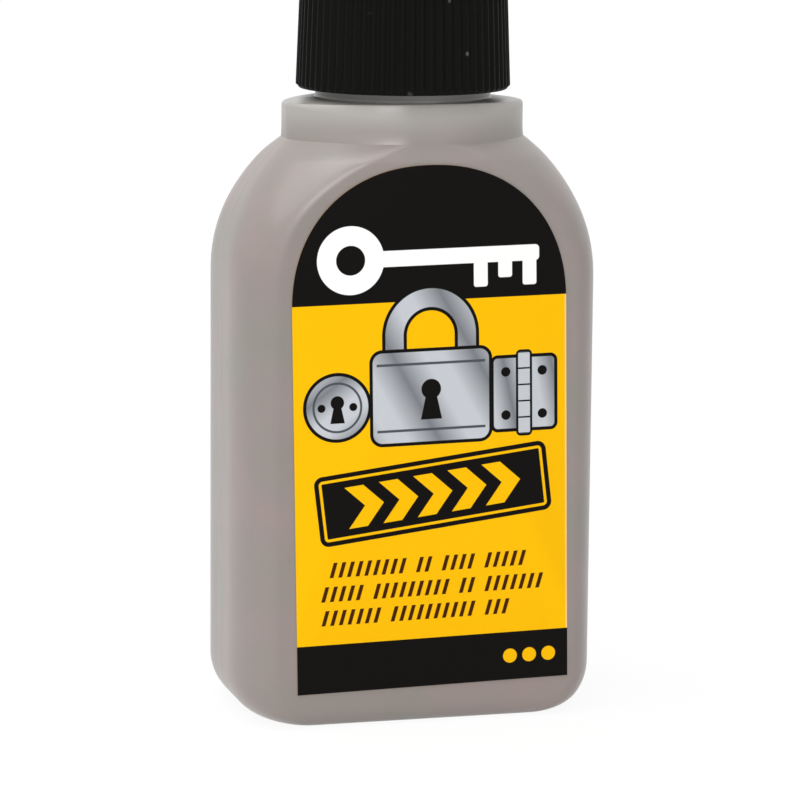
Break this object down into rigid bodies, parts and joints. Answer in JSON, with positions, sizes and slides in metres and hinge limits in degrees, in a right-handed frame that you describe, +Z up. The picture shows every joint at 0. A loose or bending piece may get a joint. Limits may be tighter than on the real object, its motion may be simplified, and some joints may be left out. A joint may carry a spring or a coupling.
{
  "type": "graphite lock lubricant bottle",
  "caption": "Flat squeeze bottle of powdered lock lubricant with an arched label, a threaded neck, a press-in spout and a tall ribbed screw cap that lifts as it turns.",
  "frame": {"origin": "middle of the base, on the surface that the bottle stands on", "axes": "+Z up along the neck and the cap, -Y out of the front label, +X to the right seen from the front"},
  "size_m": [0.0464, 0.0266, 0.1062],
  "materials": {
    "bottle_plastic": "satin, slightly warm grey polyethylene",
    "spout_plastic": "natural polyethylene, satin",
    "cap_plastic": "black polypropylene with fine upright ribs",
    "disc_foam": "white foamed polyethylene",
    "front_label_film": "printed film, black and yellow",
    "back_label_film": "printed film, yellow and black",
    "graphite": "fine dark grey powder"
  },
  "bodies": {
    "bottle": {"bottle_body": "bottle_plastic", "nozzle_insert": "spout_plastic", "front_label": "front_label_film", "back_label": "back_label_film", "graphite_powder": "graphite"},
    "sealing_disc": {"cap_liner": "disc_foam"},
    "cap": {"screw_cap": "cap_plastic"}
  },
  "joints": [
    {"name": "cap_lift", "type": "slide", "parent": "bottle", "child": "sealing_disc", "axis": [0, 0, 1], "range_m": [0, 0.0048]},
    {"name": "cap_turn", "type": "hinge", "parent": "sealing_disc", "child": "cap", "pos_m": [0, 0, 0.09], "axis": [0, 0, 1], "range_deg": [0, 540]}
  ],
  "couplings": [
    {"joint": "cap_lift", "follows": "cap_turn", "m_per_rad": 0.00050532}
  ]
}
